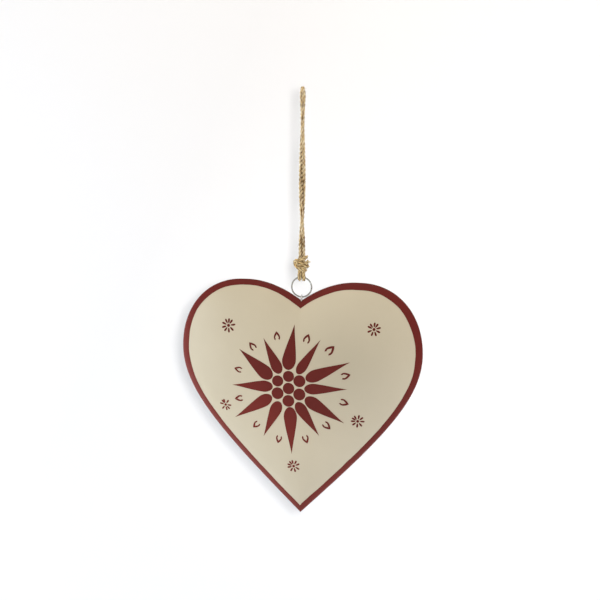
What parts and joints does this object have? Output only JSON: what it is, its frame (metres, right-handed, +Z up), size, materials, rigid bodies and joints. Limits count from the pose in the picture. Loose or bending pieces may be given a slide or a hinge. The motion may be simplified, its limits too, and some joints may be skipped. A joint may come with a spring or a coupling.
{
  "type": "hanging heart decoration",
  "caption": "Hollow domed metal heart with a painted rim and stencilled flower, hung by a wire eye and ring from a knotted loop of jute twine.",
  "frame": {"origin": "inside top of the twine loop, where the hook or nail that carries the decoration bears", "axes": "+Z up, +X to the right of someone facing the painted front, -Y out of the painted front"},
  "size_m": [0.2, 0.028, 0.3545],
  "materials": {
    "cream_lacquer": "satin cream lacquer on sheet steel",
    "red_paint": "satin dark red paint over the lacquer",
    "solder": "dull tin solder",
    "tinned_wire": "bright tinned wire",
    "jute_twine": "three-ply jute, hairy"
  },
  "bodies": {
    "cord": {"cord_loop": "jute_twine"},
    "knot": {"cord_knot": "jute_twine", "hitch_strand_left": "jute_twine", "hitch_strand_right": "jute_twine"},
    "ring": {"hanging_ring": "tinned_wire"},
    "heart": {"front_shell": "cream_lacquer", "back_shell": "cream_lacquer", "seam_solder": "solder", "hanger_eye": "tinned_wire"}
  },
  "joints": [
    {"name": "cord_twist", "type": "hinge", "parent": "cord", "child": "knot", "pos_m": [0, 0, -0.1335], "axis": [0, 0, 1], "range_deg": [-170, 170]},
    {"name": "ring_swing", "type": "hinge", "parent": "knot", "child": "ring", "pos_m": [0, 0, -0.1513], "axis": [1, 0, 0], "range_deg": [-60, 60]},
    {"name": "heart_swing", "type": "hinge", "parent": "ring", "child": "heart", "pos_m": [0, 0, -0.1677], "axis": [1, 0, 0], "range_deg": [-75, 75]}
  ]
}
